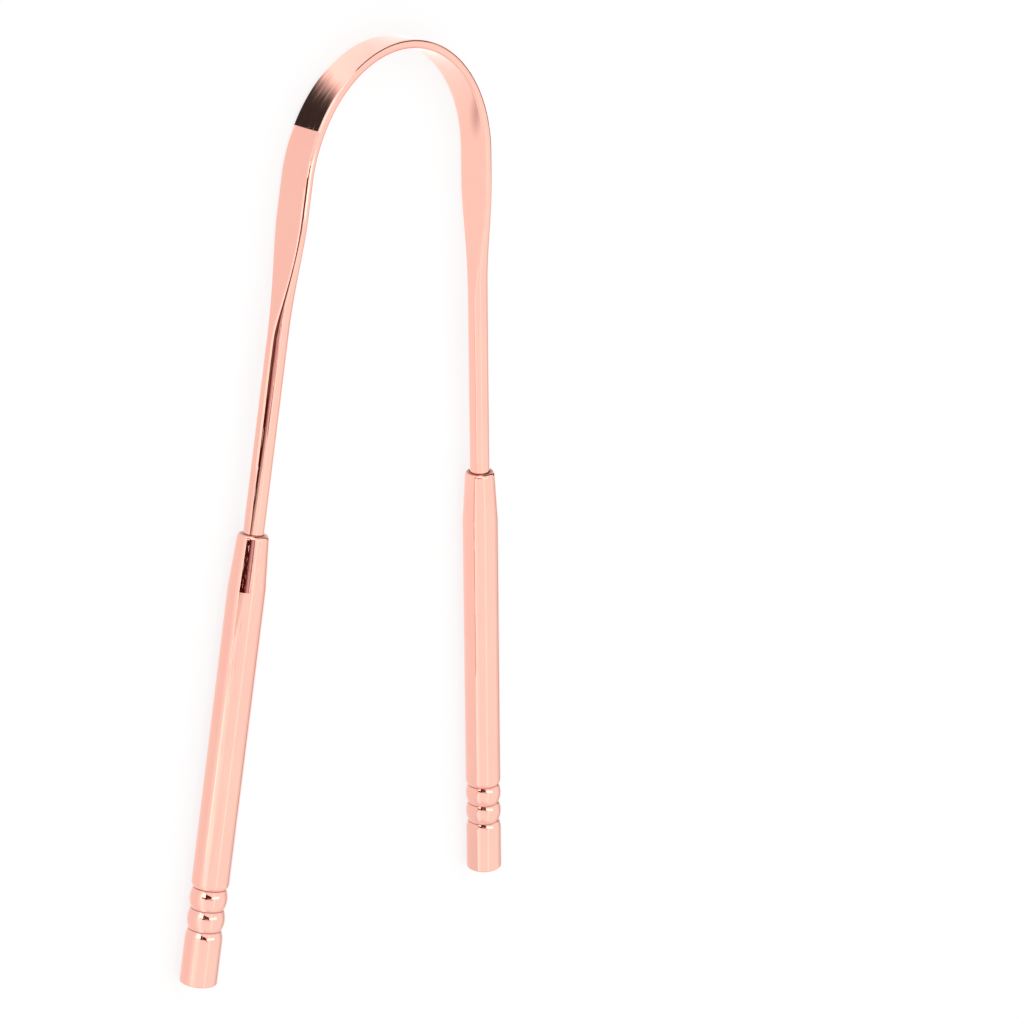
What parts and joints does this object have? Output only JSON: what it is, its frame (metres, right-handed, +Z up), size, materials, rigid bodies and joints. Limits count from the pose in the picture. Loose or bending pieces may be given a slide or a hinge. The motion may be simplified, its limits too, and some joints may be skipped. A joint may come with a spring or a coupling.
{
  "type": "tongue scraper",
  "caption": "U-shaped sprung tongue scraper: a wire bow pressed into a flat strap over the arch, with slim round handles that have tapered noses and beaded ends.",
  "frame": {"origin": "on the surface the scraper lies on, under the middle of its bounding box", "axes": "+X across the legs towards the right handle, +Y along the legs towards the arch, +Z up, across the strap's width"},
  "size_m": [0.082, 0.1554, 0.0063],
  "materials": {
    "bow_metal": "mirror-polished rose gold plating on stainless steel",
    "grip_metal": "mirror-polished rose gold plating on stainless steel",
    "plug_metal": "mirror-polished rose gold plating on stainless steel"
  },
  "bodies": {
    "bow_and_right_handle": {"scraper_bow": "bow_metal", "right_grip": "grip_metal", "right_end_plug": "plug_metal"},
    "left_handle": {"left_grip": "grip_metal", "left_end_plug": "plug_metal"}
  },
  "joints": [
    {"name": "bow_flex", "type": "hinge", "parent": "bow_and_right_handle", "child": "left_handle", "pos_m": [0, 0.05416, 0.00317], "axis": [0, 0, 1], "range_deg": [-5, 12], "stiffness_Nm_per_rad": 4, "deforming": ["scraper_bow"]}
  ]
}
